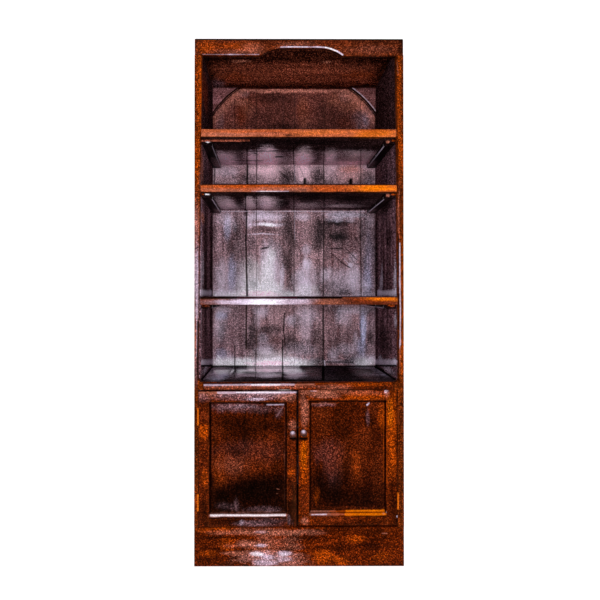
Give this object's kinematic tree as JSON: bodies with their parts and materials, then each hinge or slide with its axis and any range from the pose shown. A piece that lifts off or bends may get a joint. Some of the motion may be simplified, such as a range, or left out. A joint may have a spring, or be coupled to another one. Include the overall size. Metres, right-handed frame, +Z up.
{
  "type": "bookcase with cabinet doors",
  "caption": "Tall open bookcase with shelves on cleats above a cabinet closed by hinged frame-and-panel doors with round knobs.",
  "frame": {"origin": "on the floor, under the middle of the bounding box, knobs included", "axes": "+Z up, +X to the right as seen from the front, +Y from the doors towards the back"},
  "size_m": [0.762, 0.368, 1.92],
  "materials": {
    "carcass_wood": "dark red-brown varnish, worn along the edges",
    "shelf_wood": "orange-brown varnish on the front edges",
    "back_wood": "dull varnish with a pale haze",
    "door_wood": "glossy red-brown varnish",
    "panel_wood": "glossy dark varnish",
    "knob_wood": "polished dark varnish",
    "hinge_brass": "dulled brass",
    "catch_steel": "satin"
  },
  "bodies": {
    "carcass": {"side_panel_left": "carcass_wood", "side_panel_right": "carcass_wood", "top_board": "carcass_wood", "top_rail": "carcass_wood", "face_stile_left": "carcass_wood", "face_stile_right": "carcass_wood", "deck_board": "carcass_wood", "deck_rail": "carcass_wood", "cabinet_floor": "carcass_wood", "plinth_board": "carcass_wood", "cabinet_shelf": "carcass_wood", "shelf_lower": "shelf_wood", "shelf_middle": "shelf_wood", "shelf_upper": "shelf_wood", "cleat_lower_left": "carcass_wood", "cleat_lower_right": "carcass_wood", "cleat_middle_left": "carcass_wood", "cleat_middle_right": "carcass_wood", "cleat_upper_left": "carcass_wood", "cleat_upper_right": "carcass_wood", "cleat_cabinet_left": "carcass_wood", "cleat_cabinet_right": "carcass_wood", "back_board_1": "back_wood", "back_board_2": "back_wood", "back_board_3": "back_wood", "back_board_4": "back_wood", "back_board_5": "back_wood", "back_board_6": "back_wood", "spandrel_left": "back_wood", "spandrel_right": "back_wood", "catch_left": "catch_steel", "catch_right": "catch_steel", "hinge_frame_leaf_left_lower": "hinge_brass", "hinge_pin_left_lower": "hinge_brass", "hinge_frame_leaf_left_upper": "hinge_brass", "hinge_pin_left_upper": "hinge_brass", "hinge_frame_leaf_right_lower": "hinge_brass", "hinge_pin_right_lower": "hinge_brass", "hinge_frame_leaf_right_upper": "hinge_brass", "hinge_pin_right_upper": "hinge_brass"},
    "door_left": {"door_left_hinge_stile": "door_wood", "door_left_meeting_stile": "door_wood", "door_left_bottom_rail": "door_wood", "door_left_top_rail": "door_wood", "door_left_panel": "panel_wood", "knob_left": "knob_wood", "strike_plate_left": "catch_steel", "hinge_door_leaf_left_lower": "hinge_brass", "hinge_door_leaf_left_upper": "hinge_brass"},
    "door_right": {"door_right_hinge_stile": "door_wood", "door_right_meeting_stile": "door_wood", "door_right_bottom_rail": "door_wood", "door_right_top_rail": "door_wood", "door_right_panel": "panel_wood", "knob_right": "knob_wood", "strike_plate_right": "catch_steel", "hinge_door_leaf_right_lower": "hinge_brass", "hinge_door_leaf_right_upper": "hinge_brass"}
  },
  "joints": [
    {"name": "left_door_hinge", "type": "hinge", "parent": "carcass", "child": "door_left", "pos_m": [-0.36625, -0.1598, 0.389], "axis": [0, 0, -1], "range_deg": [0, 170]},
    {"name": "right_door_hinge", "type": "hinge", "parent": "carcass", "child": "door_right", "pos_m": [0.35775, -0.1598, 0.393], "axis": [0, 0, 1], "range_deg": [0, 170]}
  ]
}
